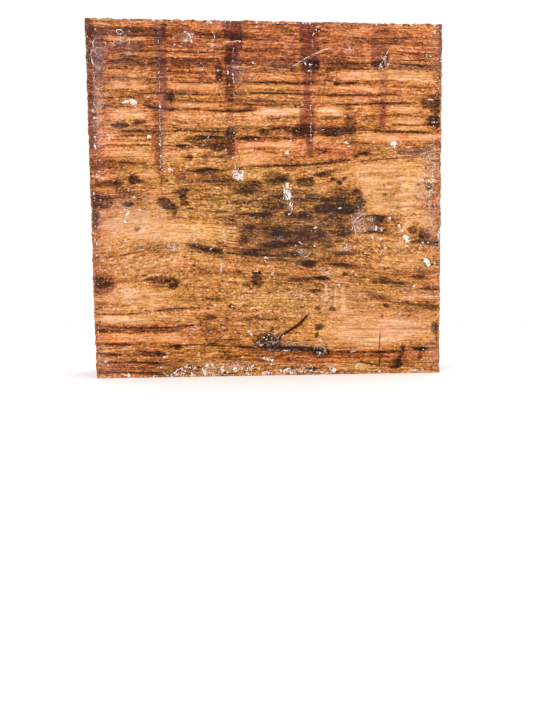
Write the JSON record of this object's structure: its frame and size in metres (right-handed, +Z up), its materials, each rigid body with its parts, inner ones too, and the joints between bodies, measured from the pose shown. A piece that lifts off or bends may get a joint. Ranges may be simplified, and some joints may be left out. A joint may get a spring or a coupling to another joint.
{
  "type": "chechen bowl blank",
  "caption": "Square sawn block of golden brown chechen heartwood, waxed, roughed out for turning into a bowl and standing on one edge.",
  "frame": {"origin": "middle of the long edge face that the block stands on", "axes": "+Z up, X along the grain, -Y out of the broad face that the picture shows"},
  "size_m": [0.205, 0.076, 0.204],
  "materials": {
    "chechen": "sawn golden brown heartwood with near black figure, dark stains and a thin wax coat",
    "wax": "dried white paraffin wax, in crumbs, runs and curls on the wood"
  },
  "bodies": {
    "root": {"bowl_blank": "chechen"}
  },
  "joints": []
}
